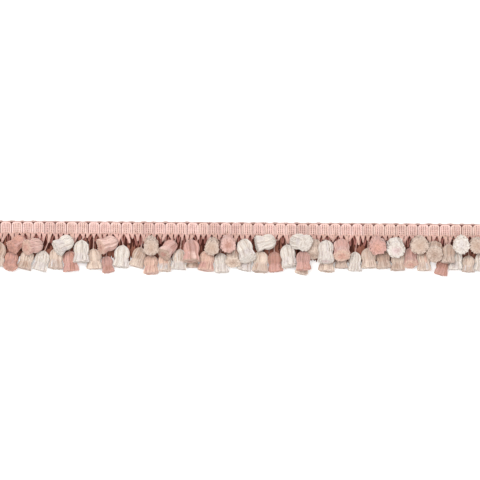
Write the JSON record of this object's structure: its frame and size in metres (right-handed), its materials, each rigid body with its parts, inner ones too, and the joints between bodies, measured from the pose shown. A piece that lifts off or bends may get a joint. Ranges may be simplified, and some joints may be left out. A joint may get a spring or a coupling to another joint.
{
  "type": "tassel fringe trim",
  "caption": "Straight cut length of narrow woven braid trim lying face up, with a fringe of hanging loops and plump two-tone yarn tassels along one edge.",
  "frame": {"origin": "middle of the heading braid's flat back face, halfway along the cut length", "axes": "+X along the trim, +Y towards the heading's scalloped edge so that the tassels hang towards -Y, +Z out of the face that shows"},
  "size_m": [0.5022, 0.0535, 0.0325],
  "materials": {
    "blush_weft": "matte twisted cotton cord",
    "ivory_yarn": "soft matte cut cotton yarn",
    "beige_yarn": "soft matte cut cotton yarn",
    "peach_yarn": "soft matte cut cotton yarn",
    "salmon_yarn": "soft matte cut cotton yarn",
    "rose_yarn": "soft matte cut cotton yarn",
    "taupe_yarn": "soft matte cut cotton yarn"
  },
  "bodies": {
    "root": {"heading": "blush_weft", "hangers": "blush_weft", "tassel_01": "beige_yarn", "tassel_02": "salmon_yarn", "tassel_03": "salmon_yarn", "tassel_04": "salmon_yarn", "tassel_05": "beige_yarn", "tassel_06": "ivory_yarn", "tassel_07": "ivory_yarn", "tassel_08": "peach_yarn", "tassel_09": "salmon_yarn", "tassel_10": "ivory_yarn", "tassel_11": "peach_yarn", "tassel_12": "salmon_yarn", "tassel_13": "rose_yarn", "tassel_14": "ivory_yarn", "tassel_15": "beige_yarn", "tassel_16": "beige_yarn", "tassel_17": "salmon_yarn", "tassel_18": "rose_yarn", "tassel_19": "ivory_yarn", "tassel_20": "ivory_yarn", "tassel_21": "rose_yarn", "tassel_22": "taupe_yarn", "tassel_23": "beige_yarn", "tassel_24": "rose_yarn", "tassel_25": "salmon_yarn", "tassel_26": "ivory_yarn", "tassel_27": "peach_yarn", "tassel_28": "ivory_yarn", "tassel_29": "ivory_yarn", "tassel_30": "ivory_yarn", "tassel_31": "peach_yarn", "tassel_32": "salmon_yarn", "tassel_33": "ivory_yarn", "tassel_34": "ivory_yarn", "tassel_35": "rose_yarn", "tassel_36": "taupe_yarn", "tassel_37": "beige_yarn", "tassel_38": "ivory_yarn", "tassel_39": "beige_yarn", "tassel_40": "salmon_yarn", "tassel_41": "beige_yarn", "tassel_42": "ivory_yarn", "tassel_43": "beige_yarn", "tassel_44": "rose_yarn", "tassel_45": "taupe_yarn", "tassel_46": "ivory_yarn", "tassel_47": "beige_yarn", "tassel_48": "salmon_yarn", "tassel_49": "beige_yarn", "tassel_50": "peach_yarn", "tassel_51": "beige_yarn", "tassel_52": "beige_yarn", "tassel_53": "salmon_yarn", "tassel_54": "ivory_yarn", "tassel_55": "ivory_yarn", "tassel_56": "peach_yarn", "tassel_57": "beige_yarn", "tassel_58": "ivory_yarn"}
  },
  "joints": []
}
